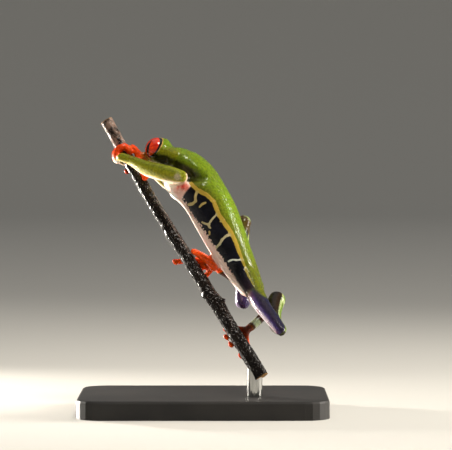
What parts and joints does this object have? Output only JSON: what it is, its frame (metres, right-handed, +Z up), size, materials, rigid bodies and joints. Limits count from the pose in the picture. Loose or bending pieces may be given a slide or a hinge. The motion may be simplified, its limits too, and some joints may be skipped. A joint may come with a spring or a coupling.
{
  "type": "red-eyed tree frog model",
  "caption": "Life-size red-eyed tree frog climbing a slanted cut branch, on a plain flat stand.",
  "frame": {"origin": "middle of the stand base's flat underside", "axes": "+Z up; the branch climbs to -X and leans back to +Y, and the frog's left side faces -Y"},
  "size_m": [0.08, 0.057, 0.095],
  "materials": {
    "skin": "moist smooth frog skin, leaf green above and cream below",
    "hidden_skin": "moist smooth skin, violet blue with a cream lower edge",
    "digits": "moist orange-red skin of hands and feet, with soft round pads",
    "eye": "clear wet eye over a red iris with a thin upright black pupil",
    "bark": "thin rough dark bark, wet, with pale specks; sawn wood at both cut ends",
    "base_paint": "satin black paint on a flat wooden base",
    "rod_steel": "brushed steel rod"
  },
  "bodies": {
    "root": {"head": "skin", "trunk": "skin", "upper_arm_left": "skin", "upper_arm_right": "skin", "forearm_left": "skin", "forearm_right": "skin", "hand_left": "digits", "hand_right": "digits", "thigh_left": "hidden_skin", "thigh_right": "hidden_skin", "shank_left": "hidden_skin", "shank_right": "hidden_skin", "tarsus_left": "skin", "tarsus_right": "skin", "foot_left": "digits", "foot_right": "digits", "eye_left": "eye", "eye_right": "eye", "perch": "bark", "stand_base": "base_paint", "stand_rod": "rod_steel"}
  },
  "joints": []
}
